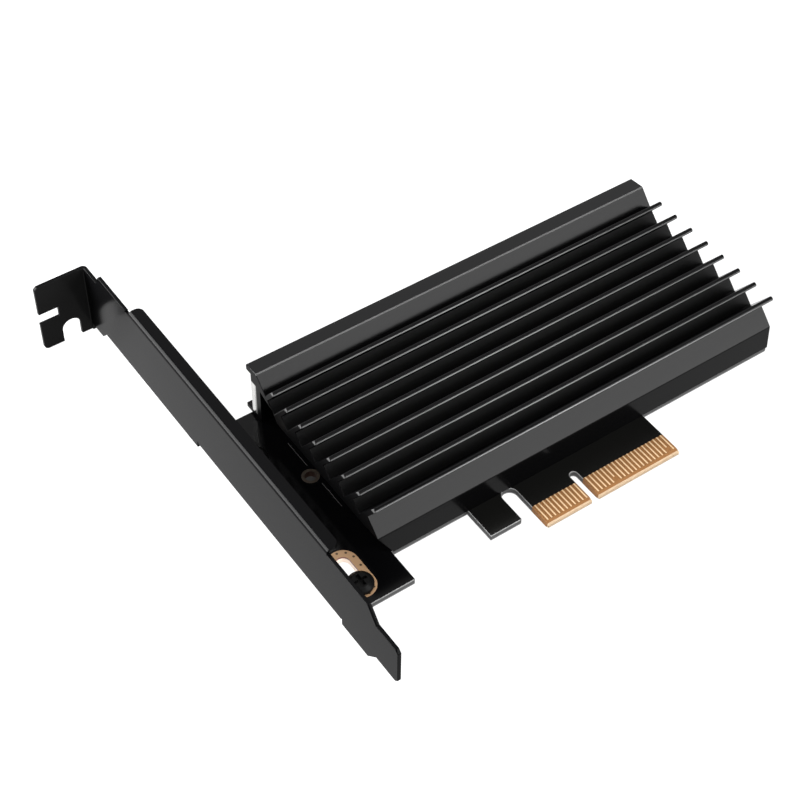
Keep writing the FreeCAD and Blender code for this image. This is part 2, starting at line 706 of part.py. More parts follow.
def make_bracket():
    """The folded bracket: strip, tongue, ear, flange, and the rail with its tabs."""
    body = new_piece("bracket")
    sketch = new_sketch(body, "strip_outline", "side", "strip_out")
    polygon(sketch, [
        ("tongue_tip", "tongue_bottom + tongue_corner"),
        ("tongue_tip + tongue_corner", "tongue_bottom"),
        ("tongue_end", "tongue_bottom"),
        ("taper_end", "strip_bottom"),
        ("neck_y - neck_flare", "strip_bottom"),
        ("neck_y", "neck_bottom"),
        ("ear_above - ear_root", "neck_bottom"),
        ("ear_above - ear_root", "ear_bottom"),
        ("ear_above", "ear_bottom"),
        ("ear_above", "ear_top"),
        ("shoulder_y", "ear_top"),
        ("shoulder_y - shoulder_long", "strip_top - upper_edge_in"),
        ("flange_high", "strip_top - upper_edge_in"),
        ("flange_high", "strip_top"),
        ("flange_low", "strip_top"),
        ("flange_low", "strip_top - edge_in"),
        ("taper_end", "strip_top - edge_in"),
        ("tongue_end", "tongue_top"),
        ("tongue_tip + tongue_corner", "tongue_top"),
        ("tongue_tip", "tongue_top - tongue_corner"),
    ])
    pad(body, "strip", sketch, "sheet_thick")
    sketch = new_sketch(body, "edge_cuts", "side", "strip_out")
    polygon(sketch, [
        ("rail_low - rail_relief", "strip_bottom"),
        ("rail_low - rail_relief", "rail_bottom + relief_deep"),
        ("rail_low", "rail_bottom + relief_deep"),
        ("rail_low", "rail_bottom"),
        ("rail_high", "rail_bottom"),
        ("rail_high", "rail_bottom + relief_deep"),
        ("rail_high + rail_relief", "rail_bottom + relief_deep"),
        ("rail_high + rail_relief", "strip_bottom"),
    ])
    rectangle(sketch, "flange_high", "flange_high + relief_wide", "strip_top - relief_deep", "strip_top")
    pocket(body, "edge_reliefs", sketch, "sheet_thick", with_normal=True)
    sketch = new_sketch(body, "flange_outline", "flat", "strip_top")
    rectangle(sketch, "strip_out", "flange_edge", "flange_low", "flange_high")
    pad(body, "flange", sketch, "sheet_thick", towards_minus=True)
    sketch = new_sketch(body, "rail_outline", "flat", "rail_top")
    polygon(sketch, [
        ("strip_out", "rail_low"),
        ("tab_edge", "rail_low"),
        ("tab_edge", "screw_low + tab_above"),
        ("rail_edge", "screw_low + tab_above"),
        ("rail_edge", "screw_high - tab_below"),
        ("tab_edge", "screw_high - tab_below"),
        ("tab_edge", "screw_high + tab_above"),
        ("rail_edge", "screw_high + tab_above"),
        ("rail_edge", "rail_high"),
        ("strip_out", "rail_high"),
    ])
    pad(body, "rail", sketch, "sheet_thick", towards_minus=True)
    sketch = new_sketch(body, "collar_outline", "flat", "rail_bottom")
    for middle in ("screw_low", "screw_high"):
        circle(sketch, "slot_x", middle, "bracket_screw + collar_wall")
    pad(body, "collars", sketch, "collar_long", towards_minus=True)
    sketch = new_sketch(body, "thread_outline", "flat", "rail_top")
    for middle in ("screw_low", "screw_high"):
        circle(sketch, "slot_x", middle, "bracket_screw")
    pocket(body, "threads", sketch, "sheet_thick + collar_long")
    sketch = new_sketch(body, "ear_outline", "front", "ear_above")
    rectangle(sketch, "ear_rear", "strip_out", "ear_bottom", "ear_top")
    pad(body, "ear", sketch, "sheet_thick")
    sketch = new_sketch(body, "ear_cuts", "front", "ear_above")
    notch_in = "ear_rear + ear_notch_deep"
    notch_low = "ear_bottom + ear_notch_up"
    rectangle(sketch, "ear_rear - ear_corner", notch_in, notch_low, notch_low + " + ear_notch_wide")
    slot_x = "strip_out - ear_slot_in"
    slot_end = "ear_bottom + ear_slot_deep - ear_slot_half"
    upright_slot(sketch, slot_x, "ear_bottom - ear_slot_half", slot_end, "ear_slot_half")
    ear_cuts = pocket(body, "ear_notches", sketch, "sheet_thick", with_normal=True)
    round_bracket(body, ear_cuts)


def round_bracket(body, blank):
    """Round the bracket's folds, outside and inside, and its free corners."""
    strip_out, strip_in = place("strip_out"), place("strip_in")
    flange_span = (place("flange_low"), place("flange_high"))
    rail_span = (place("rail_low"), place("rail_high"))
    ear_above = SIZES["ear_above"]
    outsides = [
        {"x": strip_out, "z": place("strip_top"), "y": flange_span},
        {"x": strip_out, "z": place("rail_bottom"), "y": rail_span},
        {"x": strip_in, "y": ear_above},
    ]
    insides = [
        {"x": strip_in, "z": place("flange_in")},
        {"x": strip_in, "z": place("rail_top")},
        {"x": strip_out, "y": place("ear_in")},
    ]
    ear_corners = [{"x": place("ear_rear"), "z": place(edge)} for edge in ("ear_bottom", "ear_top")]
    flange_corners = [{"x": place("flange_edge"), "y": end} for end in flange_span]
    tab_corners = []
    for middle in (place("screw_low"), place("screw_high")):
        tab_corners.append({"x": place("tab_edge"), "y": middle - SIZES["tab_below"]})
        tab_corners.append({"x": place("tab_edge"), "y": middle + SIZES["tab_above"]})
    steps = [
        ("fold_outsides", "fold_round", outsides),
        ("fold_insides", "fold_inner", insides),
        ("ear_corners", "ear_corner", ear_corners),
        ("flange_corners", "flange_corner", flange_corners),
        ("tab_corners", "tab_corner", tab_corners),
    ]
    for name, radius, groups in steps:
        blank = round_edges(body, name, blank, radius, groups)


def make_thermal_pad():
    """The soft pad between the drive and the heatsink's roof."""
    block = doc.addObject("Part::Box", "thermal_pad")
    block.Label = "thermal_pad"
    bind(block, "Length", "pad_long")
    bind(block, "Width", "pad_wide")
    bind(block, "Height", "pad_thick")
    bind(block, "Placement.Base.x", "sink_left + pad_in")
    bind(block, "Placement.Base.y", "drive_y - pad_wide / 2")
    bind(block, "Placement.Base.z", "roof - pad_thick")
    pieces.append(block)


def make_socket():
    """The drive socket's housing, with its mouth, its key and its pegs."""
    body = new_piece("drive_socket")
    sketch = new_sketch(body, "socket_section", "front", "socket_low")
    polygon(sketch, [
        ("socket_front", "board_thick"),
        ("socket_back", "board_thick"),
        ("socket_back", "socket_top"),
        ("socket_front + lip_setback", "socket_top"),
        ("socket_front + lip_setback", "mouth_top"),
        ("socket_front", "mouth_top"),
    ])
    pad(body, "socket_block", sketch, "socket_wide", towards_minus=True)
    sketch = new_sketch(body, "mouth_outline", "side", "socket_front")
    key_low = "drive_y - mouth_key - mouth_key_wide / 2"
    rectangle(sketch, "drive_y - mouth_wide / 2", key_low, "mouth_bottom", "mouth_top")
    rectangle(sketch, key_low + " + mouth_key_wide", "drive_y + mouth_wide / 2", "mouth_bottom", "mouth_top")
    pocket(body, "mouth", sketch, "mouth_deep", with_normal=True)
    sketch = new_sketch(body, "peg_outline", "flat", "board_thick")
    draw_pegs(sketch, "0")
    pad(body, "pegs", sketch, "board_thick", towards_minus=True)


def make_contacts(name, face, outward, row_start, beyond):
    """The feet of one row of the socket's contacts, counted down from row_start."""
    body = new_piece(name)
    foot = "%s + %d * contact_foot" % (face, outward)
    first_low = "drive_y + %s - contact_wide / 2" % row_start
    groups = [
        ("long", first_low, "contacts_long"),
        ("short", first_low + " - (contacts_long + keyed_out) * contact_pitch", beyond),
    ]
    for group, low, count in groups:
        sketch = new_sketch(body, "%s_%s_outline" % (name, group), "flat", "board_thick")
        rectangle(sketch, face, foot, low, low + " + contact_wide")
        first = pad(body, "%s_%s_first" % (name, group), sketch, "contact_thick")
        row = repeat(body, "%s_%s_row" % (name, group), [first], "Y_Axis", count, "contact_pitch")
        row.Reversed = True


def make_anchors():
    """The two metal tabs that solder the socket's ends to the board."""
    body = new_piece("drive_socket_anchors")
    for side, sign in (("low", "-1"), ("high", "1")):
        face = "drive_y + %s * socket_wide / 2" % sign
        sketch = new_sketch(body, "anchor_%s" % side, "side", "socket_middle - anchor_long / 2")
        foot = face + " + %s * anchor_wide" % sign
        wall = face + " + %s * anchor_thick" % sign
        polygon(sketch, [
            (face, "board_thick"),
            (foot, "board_thick"),
            (foot, "board_thick + anchor_thick"),
            (wall, "board_thick + anchor_thick"),
            (wall, "board_thick + anchor_high"),
            (face, "board_thick + anchor_high"),
        ])
        pad(body, "anchor_%s_tab" % side, sketch, "anchor_long")


def make_chips(name, prefix, middle, count="", pitch=""):
    """A row of chip parts, with their metal ends as a piece of their own."""
    long, wide, high, end = [prefix + part for part in ("_long", "_wide", "_high", "_end")]
    left = "socket_back + %s_gap" % prefix
    right = left + " + " + long
    spans = {
        name: [(left + " + " + end, right + " - " + end)],
        name + "_ends": [(left, left + " + " + end), (right + " - " + end, right)],
    }
    for piece, parts in spans.items():
        body = new_piece(piece)
        sketch = new_sketch(body, piece + "_outline", "flat", "board_thick")
        for start, stop in parts:
            rectangle(sketch, start, stop, "%s - %s / 2" % (middle, wide), "%s + %s / 2" % (middle, wide))
        first = pad(body, piece + "_first", sketch, high)
        if count:
            repeat(body, piece + "_row", [first], "Y_Axis", count, pitch)


def check():
    """Stop on any object that failed, any cut that missed and any bad solid."""
    for thing in doc.Objects:
        if "Invalid" in thing.State or "Error" in thing.State:
            raise ValueError("%s is %s" % (thing.Name, thing.State))
        if thing.TypeId == "PartDesign::Pocket":
            removed = thing.BaseFeature.Shape.Volume - thing.Shape.Volume
            if removed <= 0:
                raise ValueError("%s removes nothing" % thing.Name)
    for piece in pieces:
        if piece.Shape.isNull() or not piece.Shape.isValid():
            raise ValueError("%s has no valid solid" % piece.Label)


make_board()
make_fingers("edge_fingers_front", "board_thick", [
    "key_to_finger + first_presence * finger_pitch",
    "key_to_finger + last_presence * finger_pitch",
])
make_fingers("edge_fingers_back", "-finger_thick", ["first_finger"])
make_slot_plating()
make_post_plating()
make_heatsink()
for row in ("near", "far"):
    make_screws(
        "heatsink_screws_" + row, "sink_screw_x", row + "_screw_y", "0", -1, "sink_screw",
        "board_thick + sink_screw_reach", "sink_head", "sink_head_high", "X_Axis", "sink_screw_span")
make_bracket()
make_screws(
    "bracket_screws", "slot_x", "screw_low", "screw_seat", 1, "bracket_screw",
    "rail_bottom - collar_long - screw_end", "bracket_head", "bracket_head_high", "Y_Axis", "slot_pitch")
make_thermal_pad()
make_socket()
front_start = "row_start - contact_pitch / 2"
make_contacts("drive_socket_front_contacts", "socket_front", -1, front_start, "lower_short")
make_contacts("drive_socket_rear_contacts", "socket_back", 1, "row_start", "upper_short")
make_anchors()
make_chips("reservoir_capacitors", "cap", "drive_y - cap_below", "cap_count", "cap_pitch")
make_chips("filter_capacitors", "filter", "drive_y - filter_below", "filter_count", "filter_pitch")
make_chips("resistors", "resistor", "drive_y - resistor_below", "resistor_count", "resistor_pitch")
make_chips("fuse", "fuse", "drive_y + fuse_above")
doc.recompute()
check()

os.makedirs("parts", exist_ok=True)
for piece in pieces:
    piece.Shape.exportStep("parts/%s.step" % piece.Label)
    box = piece.Shape.BoundBox
    print("%-30s solids %3d  volume %9.2f  X %8.2f %8.2f  Y %8.2f %8.2f  Z %6.2f %6.2f" % (
        piece.Label, len(piece.Shape.Solids), piece.Shape.Volume,
        box.XMin, box.XMax, box.YMin, box.YMax, box.ZMin, box.ZMax))
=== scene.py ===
"""Drive adapter card: finishes, fine edges and studio round its CAD frame.

Metres, in the frame of the CAD model: X runs along the card from its bracket,
Y up from the edge fingers and Z out of the component side. The finishes hold
their places on the card in millimetres.
"""
import logging
import math
from dataclasses import dataclass, field
from enum import Enum
from typing import Any, Union

import bmesh
import bpy
from mathutils import Euler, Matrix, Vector


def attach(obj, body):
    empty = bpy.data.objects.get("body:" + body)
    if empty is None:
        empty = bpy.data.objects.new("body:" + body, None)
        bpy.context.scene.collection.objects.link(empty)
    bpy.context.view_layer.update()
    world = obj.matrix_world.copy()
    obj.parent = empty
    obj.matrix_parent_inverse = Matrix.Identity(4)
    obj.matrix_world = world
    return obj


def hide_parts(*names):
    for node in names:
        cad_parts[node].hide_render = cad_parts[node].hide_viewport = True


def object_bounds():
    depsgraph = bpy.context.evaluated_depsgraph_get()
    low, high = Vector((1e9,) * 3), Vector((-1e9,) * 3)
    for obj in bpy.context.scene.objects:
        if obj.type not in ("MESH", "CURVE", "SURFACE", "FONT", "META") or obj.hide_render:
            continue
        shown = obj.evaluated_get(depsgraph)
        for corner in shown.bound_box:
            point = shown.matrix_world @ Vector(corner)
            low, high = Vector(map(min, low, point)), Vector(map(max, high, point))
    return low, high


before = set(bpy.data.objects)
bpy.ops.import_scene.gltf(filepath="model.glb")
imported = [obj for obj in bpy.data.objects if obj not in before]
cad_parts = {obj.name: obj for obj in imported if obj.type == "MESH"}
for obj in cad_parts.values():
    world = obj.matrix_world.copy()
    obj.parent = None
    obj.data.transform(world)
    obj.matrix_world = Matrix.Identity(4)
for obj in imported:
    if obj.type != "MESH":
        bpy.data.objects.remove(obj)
cad_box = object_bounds()

MM = 0.001
BODY = "root"
MIX_SHARE, MIX_BASE, MIX_TOP, MIX_RESULT = 0, 6, 7, 2  # colour sockets of a Mix node
log = logging.getLogger("drive_card")

Color = tuple[float, float, float]
Point = tuple[float, float, float]
Span = tuple[float, float]
Input = Union["Value", bpy.types.NodeSocket, float, tuple]


class Op(Enum):
    """The Math nodes that shader arithmetic uses."""

    ADD = "ADD"
    SUBTRACT = "SUBTRACT"
    MULTIPLY = "MULTIPLY"
    DIVIDE = "DIVIDE"
    ABSOLUTE = "ABSOLUTE"
    ABOVE = "GREATER_THAN"
    BELOW = "LESS_THAN"
    LARGER = "MAXIMUM"
    SMALLER = "MINIMUM"
    WRAP = "FRACT"


class Axis(Enum):
    """The axes of the frame, by their place in a vector."""

    X = 0
    Y = 1
    Z = 2


class Value:
    """One number in a shader; arithmetic on it adds Math nodes."""

    def __init__(self, graph: "Graph", socket: bpy.types.NodeSocket) -> None:
        """Wrap an output.

        Args:
            graph: The graph that the output belongs to.
            socket: The output itself.
        """
        self.graph = graph
        self.socket = socket

    def __add__(self, other: Input) -> "Value":
        """Sum."""
        return self.graph.math(Op.ADD, self, other)

    __radd__ = __add__

    def __sub__(self, other: Input) -> "Value":
        """Difference."""
        return self.graph.math(Op.SUBTRACT, self, other)

    def __rsub__(self, other: Input) -> "Value":
        """Difference with this value on the right."""
        return self.graph.math(Op.SUBTRACT, other, self)

    def __mul__(self, other: Input) -> "Value":
        """Product."""
        return self.graph.math(Op.MULTIPLY, self, other)

    __rmul__ = __mul__

    def __truediv__(self, other: Input) -> "Value":
        """Quotient."""
        return self.graph.math(Op.DIVIDE, self, other)

    def __rtruediv__(self, other: Input) -> "Value":
        """Quotient with this value below the line."""
        return self.graph.math(Op.DIVIDE, other, self)

    def __abs__(self) -> "Value":
        """Size without sign."""
        return self.graph.math(Op.ABSOLUTE, self)

    def __gt__(self, other: Input) -> "Value":
        """One where this value is larger, otherwise zero."""
        return self.graph.math(Op.ABOVE, self, other)

    def __lt__(self, other: Input) -> "Value":
        """One where this value is smaller, otherwise zero."""
        return self.graph.math(Op.BELOW, self, other)

    def near(self, middle: float, reach: float) -> "Value":
        """One within reach of a middle, otherwise zero."""
        return abs(self - middle) < reach

    def between(self, low: float, high: float) -> "Value":
        """One between two bounds, otherwise zero."""
        return self.near((low + high) / 2, (high - low) / 2)

    def held(self) -> "Value":
        """This value, held between zero and one."""
        return self.graph.smaller(self.graph.larger(self, 0.0), 1.0)


class Graph:
    """The node tree of one material, ending in one Principled shader."""

    def __init__(self, name: str) -> None:
        """Start an empty material.

        Args:
            name: The material's name.
        """
        self.material = bpy.data.materials.new(name)
        self.material.use_nodes = True
        self.tree = self.material.node_tree
        self.tree.nodes.clear()

    def node(
        self, kind: str, settings: dict[str, Any], inputs: dict[Union[str, int], Input]
    ) -> bpy.types.Node:
        """Add a node.

        Args:
            kind: The node's type name.
            settings: Properties, set before the sockets.
            inputs: Socket names or numbers, each with a value or a link.

        Returns:
            The new node.
        """
        made = self.tree.nodes.new(kind)
        for key, setting in settings.items():
            setattr(made, key, setting)
        for key, source in inputs.items():
            socket = made.inputs[key]
            if isinstance(source, Value):
                self.tree.links.new(source.socket, socket)
            elif isinstance(source, bpy.types.NodeSocket):
                self.tree.links.new(source, socket)
            else:
                socket.default_value = source
        return made

    def math(self, op: Op, *terms: Input) -> Value:
        """Join values with a Math node.

        Args:
            op: What the node does.
            terms: Its one or two values.

        Returns:
            The result.
        """
        made = self.node("ShaderNodeMath", {"operation": op.value}, dict(enumerate(terms)))
        return Value(self, made.outputs[0])

    def larger(self, first: Input, second: Input) -> Value:
        """Take the larger of two values."""
        return self.math(Op.LARGER, first, second)

    def smaller(self, first: Input, second: Input) -> Value:
        """Take the smaller of two values."""
        return self.math(Op.SMALLER, first, second)

    def mix(self, share: Input, base: Input, top: Input) -> bpy.types.NodeSocket:
        """Mix two colours.

        Args:
            share: How much of the top colour shows.
            base: The colour where share is zero.
            top: The colour where share is one.

        Returns:
            The mixed colour.
        """
        under, over = ((*c, 1.0) if isinstance(c, tuple) else c for c in (base, top))
        made = self.node(
            "ShaderNodeMix", {"data_type": "RGBA"},
            {MIX_SHARE: share, MIX_BASE: under, MIX_TOP: over})
        return made.outputs[MIX_RESULT]

    def coordinate(self, kind: str) -> bpy.types.NodeSocket:
        """Take one output of the texture coordinates."""
        return self.node("ShaderNodeTexCoord", {}, {}).outputs[kind]

    def split(self, vector: bpy.types.NodeSocket) -> dict[Axis, Value]:
        """Split a vector into its parts.

        Args:
            vector: The vector.

        Returns:
            One value for each axis.
        """
        parts = self.node("ShaderNodeSeparateXYZ", {}, {0: vector})
        return {axis: Value(self, parts.outputs[axis.value]) for axis in Axis}

    def place(self) -> dict[Axis, Value]:
        """Give the point being shaded, in millimetres."""
        metres = self.split(self.coordinate("Object"))
        return {axis: part * (1 / MM) for axis, part in metres.items()}

    def facing(self) -> dict[Axis, Value]:
        """Give the surface normal in the frame of the piece."""
        return self.split(self.coordinate("Normal"))

    def noise(self, grain: Point, detail: float = 2.0) -> Value:
        """Add noise whose middle is a half.

        Args:
            grain: Size of the grain along each axis, in metres.
            detail: How many finer layers it has.

        Returns:
            The noise, from 0 to 1.
        """
        scaled = self.node(
            "ShaderNodeVectorMath", {"operation": "DIVIDE"},
            {0: self.coordinate("Object"), 1: grain})
        made = self.node(
            "ShaderNodeTexNoise", {"normalize": True},
            {"Vector": scaled.outputs[0], "Scale": 1.0, "Detail": detail})
        return Value(self, made.outputs[0])

    def bump(self, height: Value, depth: float) -> bpy.types.NodeSocket:
        """Turn a height between 0 and 1 into a normal.

        Args:
            height: The height.
            depth: What a height of one stands for, in metres.

        Returns:
            The normal.
        """
        made = self.node(
            "ShaderNodeBump", {}, {"Strength": 1.0, "Distance": depth, "Height": height})
        return made.outputs[0]

    def finish(self, inputs: dict[str, Input]) -> bpy.types.Material:
        """End the graph in a Principled shader.

        Args:
            inputs: The shader's sockets.

        Returns:
            The finished material.
        """
        shader = self.node("ShaderNodeBsdfPrincipled", {}, inputs)
        self.node("ShaderNodeOutputMaterial", {}, {"Surface": shader.outputs[0]})
        return self.material


@dataclass(frozen=True)
class Finish:
    """A finish of one colour, with slight unevenness in its gloss and surface."""

    name: str
    color: Color
    roughness: float
    metallic: float = 0.0
    grain: Point = (0.4 * MM, 0.4 * MM, 0.4 * MM)
    depth: float = 0.004 * MM
    spread: float = 0.08
    level: float = 0.5
    glow: float = 0.0

    def uneven(self, noise: Value) -> Value:
        """Turn noise into a change of roughness about none."""
        return self.spread * (noise - 0.5)

    def gloss(self, graph: Graph) -> dict[str, Input]:
        """Work out the sockets that the plain finishes share.

        Args:
            graph: The graph to add to.

        Returns:
            Metallic, roughness, normal, specular level and glow.
        """
        noise = graph.noise(self.grain)
        return {
            "Metallic": self.metallic,
            "Roughness": self.roughness + self.uneven(noise),
            "Normal": graph.bump(noise, self.depth),
            "Specular IOR Level": self.level,
            "Emission Strength": self.glow,
        }

    def material(self) -> bpy.types.Material:
        """Make the material.

        Returns:
            The material, ready for a slot.
        """
        graph = Graph(self.name)
        return graph.finish({**self.gloss(graph), "Base Color": (*self.color, 1.0)})


@dataclass(frozen=True)
class Extrusion(Finish):
    """Black anodised extrusion: die lines along X, a painted highlight strip on one cut end, and
    painted highlights on the fin tips and the ridge.
    """

    die_line: Point = (60 * MM, 0.12 * MM, 0.12 * MM)
    die_detail: float = 1.0
    die_share: float = 0.12
    end_facing_x: float = -0.9
    # painted highlight: pale metal colour for a strip on the far wall's cut end
    end_highlight_color: Color = (0.60, 0.60, 0.59)
    end_highlight_y: Span = (56.7, 57.6)
    end_highlight_z: Span = (2.8, 11.6)
    # painted highlight: a paler line along the ridge over the far band
    ridge_highlight_color: Color = (0.06, 0.06, 0.06)
    ridge_at: Span = (56.45, 15.2)
    ridge_half: float = 0.14
    # painted highlight: paler colour on the rounded fin tips and their cut ends
    tip_highlight_color: Color = (0.22, 0.22, 0.22)
    tip_end_share: float = 0.18
    tip_z: float = 14.6
    tip_to_y: float = 51.0
    tip_facing_y: float = -0.82
    tip_facing_z: float = -0.1
    tip_fade_x: float = 95.0
    rough: float = 0.46
    channel_y: Span = (17.0, 52.6)
    channel_facing_z: Span = (0.60, 0.90)

    def bare(self, place: dict[Axis, Value], on_end: Value) -> Value:
        """Mark the painted highlight strip on the cut end, rising from none to full across it.

        Args:
            place: The point being shaded.
            on_end: One on the cut end.

        Returns:
            How strong the painted highlight is.
        """
        low, high = self.end_highlight_y
        rise = ((place[Axis.Y] - low) / (high - low)).held()
        return rise * on_end * place[Axis.Z].between(*self.end_highlight_z)

    def tips(
        self, graph: Graph, place: dict[Axis, Value], facing: dict[Axis, Value], on_end: Value
    ) -> Value:
        """Mark the painted highlights on the rounded fin tips and their cut ends, strongest in
        the card's middle.

        Args:
            graph: The graph to add to.
            place: The point being shaded.
            facing: The surface normal.
            on_end: One on the cut end.

        Returns:
            How strong the painted highlight is.
        """
        on_fins = (place[Axis.Z] > self.tip_z) * (place[Axis.Y] < self.tip_to_y)
        rounded = (facing[Axis.Y] < self.tip_facing_y) * (facing[Axis.Z] > self.tip_facing_z)
        fade = 1 - abs(place[Axis.X]) / self.tip_fade_x
        return on_fins * graph.larger(rounded * fade, on_end * self.tip_end_share)

    def material(self) -> bpy.types.Material:
        """Make the material.

        Returns:
            The material, ready for a slot.
        """
        graph = Graph(self.name)
        place, facing = graph.place(), graph.facing()
        lines = graph.noise(self.die_line, self.die_detail)
        fine = graph.noise(self.grain)
        on_end = facing[Axis.X] < self.end_facing_x
        # bare: painted highlight strip on the cut end, in colour and metallic
        bare = self.bare(place, on_end)
        # painted highlights along the fin tips
        tips = self.tips(graph, place, facing, on_end)
        # painted highlight along the ridge
        ridge_y, ridge_z = self.ridge_at
        ridge = place[Axis.Y].near(ridge_y, self.ridge_half) * (place[Axis.Z] > ridge_z)
        channel = (
            place[Axis.Y].between(*self.channel_y)
            * facing[Axis.Z].between(*self.channel_facing_z))
        dull = graph.larger(channel, on_end * (1 - bare))
        color = graph.mix(tips, self.color, self.tip_highlight_color)
        color = graph.mix(ridge, color, self.ridge_highlight_color)
        return graph.finish({
            "Base Color": graph.mix(bare, color, self.end_highlight_color),
            "Metallic": bare,
            "Specular IOR Level": self.level,
            "Roughness": (
                self.roughness + self.uneven(lines) + self.uneven(fine)
                + dull * (self.rough - self.roughness)),
            "Normal": graph.bump(
                fine * (1 - self.die_share) + lines * self.die_share, self.depth),
        })


@dataclass(frozen=True)
class CoatedSheet(Finish):
    """Coated black sheet, with a painted reflection making the seat face of the ear a little
    paler.
    """

    # painted reflection: the ear's seat face is painted a little paler
    ear_reflection_color: Color = (0.006, 0.006, 0.006)
    ear_from_y: float = 100.0
    ear_facing_y: float = -0.5

    def material(self) -> bpy.types.Material:
        """Make the material.

        Returns:
            The material, ready for a slot.
        """
        graph = Graph(self.name)
        # painted reflection on the ear's seat face, picked out by its facing
        seat = graph.facing()[Axis.Y] < self.ear_facing_y
        ear = seat * (graph.place()[Axis.Y] > self.ear_from_y)
        color = graph.mix(ear, self.color, self.ear_reflection_color)
        return graph.finish({**self.gloss(graph), "Base Color": color})


@dataclass(frozen=True)
class SolderMask(Finish):
    """Glossy mask over laminate, bare round the fingers and on cut edges."""

    thick: float = 1.6
    flat_facing: float = 0.98
    up_facing: float = 0.5
    # painted reflection: the mask is painted paler on the board near the fingers
    pale: Color = (0.0045, 0.0045, 0.0042)
    reflection_from_x: float = -25.0
    reflection_to_y: float = 11.85
    laminate: Color = (0.17, 0.08, 0.03)
    bare_x: Span = (-12.6, 22.6)
    bare_to_y: float = 5.45
    bevel: Color = (0.36, 0.27, 0.18)
    bevel_to_y: float = 0.45
    bevel_share: float = 0.4
    weave: Point = (1.2 * MM, 1.2 * MM, 0.08 * MM)
    weave_detail: float = 1.0
    core: Color = (0.06, 0.06, 0.06)
    skin: Color = (0.22, 0.22, 0.22)
    skin_deep: float = 0.28
    # painted shade: dark colour on the bore of the post hole
    hole_shade_color: Color = (0.025, 0.014, 0.010)
    hole_at: Span = (-44.65, 37.4)
    hole_reach: float = 1.6
    # printed line, its white darkened by painted shade
    shaded_line_color: Color = (0.03, 0.03, 0.03)
    line_x: float = -43.7
    line_half: float = 0.11
    line_y: Span = (27.2, 47.5)
    line_gap: Span = (34.6, 40.2)
    open_rough: float = 0.35

    def edges(self, graph: Graph, place: dict[Axis, Value], bare: Value) -> bpy.types.NodeSocket:
        """Colour the cut edges: layers, the post hole's bore darkened with painted shade, and
        the finger bevel.

        Args:
            graph: The graph to add to.
            place: The point being shaded.
            bare: One round the fingers.

        Returns:
            The colour.
        """
        x, y, z = place.values()
        hole_x, hole_y = self.hole_at
        from_face = graph.smaller(z, self.thick - z)
        from_hole = (x - hole_x) * (x - hole_x) + (y - hole_y) * (y - hole_y)
        weave = graph.noise(self.weave, self.weave_detail)
        pale = (y < self.bevel_to_y) * (weave + self.bevel_share)
        layers = graph.mix(from_face < self.skin_deep, self.core, self.skin)
        # painted shade inside the post hole
        layers = graph.mix(from_hole < self.hole_reach ** 2, layers, self.hole_shade_color)
        return graph.mix(bare, layers, graph.mix(pale, self.laminate, self.bevel))

    def faces(
        self, graph: Graph, place: dict[Axis, Value], facing: dict[Axis, Value], bare: Value
    ) -> bpy.types.NodeSocket:
        """Colour the faces: mask with a painted reflection near the fingers, the line beside the
        post hole darkened by painted shade, and bare laminate.

        Args:
            graph: The graph to add to.
            place: The point being shaded.
            facing: The surface normal.
            bare: One round the fingers.

        Returns:
            The colour.
        """
        x, y = place[Axis.X], place[Axis.Y]
        line = (
            x.near(self.line_x, self.line_half)
            * y.between(*self.line_y)
            * (1 - y.between(*self.line_gap))
            * (facing[Axis.Z] > self.up_facing))
        # painted reflection: paler mask near the fingers
        mask = graph.mix(
            (x > self.reflection_from_x) * (y < self.reflection_to_y), self.color, self.pale)
        # printed line, darkened by painted shade
        mask = graph.mix(line, mask, self.shaded_line_color)
        return graph.mix(bare, mask, self.laminate)

    def material(self) -> bpy.types.Material:
        """Make the material.

        Returns:
            The material, ready for a slot.
        """
        graph = Graph(self.name)
        place, facing = graph.place(), graph.facing()
        flat = abs(facing[Axis.Z]) > self.flat_facing
        bare = place[Axis.X].between(*self.bare_x) * (place[Axis.Y] < self.bare_to_y)
        noise = graph.noise(self.grain)
        open_grain = graph.larger(bare, 1 - flat)
        return graph.finish({
            "Base Color": graph.mix(
                flat, self.edges(graph, place, bare), self.faces(graph, place, facing, bare)),
            "Specular IOR Level": self.level,
            "Roughness": self.roughness + self.uneven(noise) + self.open_rough * open_grain,
            "Normal": graph.bump(noise, self.depth),
        })


@dataclass(frozen=True)
class FingerGold(Finish):
    """Gold of the edge fingers, with a painted highlight down the middle of each finger and
    painted shade towards its sides.
    """

    # painted shade on the sides of each finger, leaving a painted highlight down its middle
    side_shade_color: Color = (0.15, 0.066, 0.018)
    pitch: float = 1.0
    middle: float = 0.5
    highlight_half: float = 0.07
    fade: float = 0.16

    def material(self) -> bpy.types.Material:
        """Make the material.

        Returns:
            The material, ready for a slot.
        """
        graph = Graph(self.name)
        across = graph.math(Op.WRAP, graph.place()[Axis.X] / self.pitch)
        out = abs(across - self.middle)
        # painted highlight in the middle of each finger, painted shade towards its sides
        share = ((out - self.highlight_half) / self.fade).held()
        color = graph.mix(share, self.color, self.side_shade_color)
        return graph.finish({**self.gloss(graph), "Base Color": color})


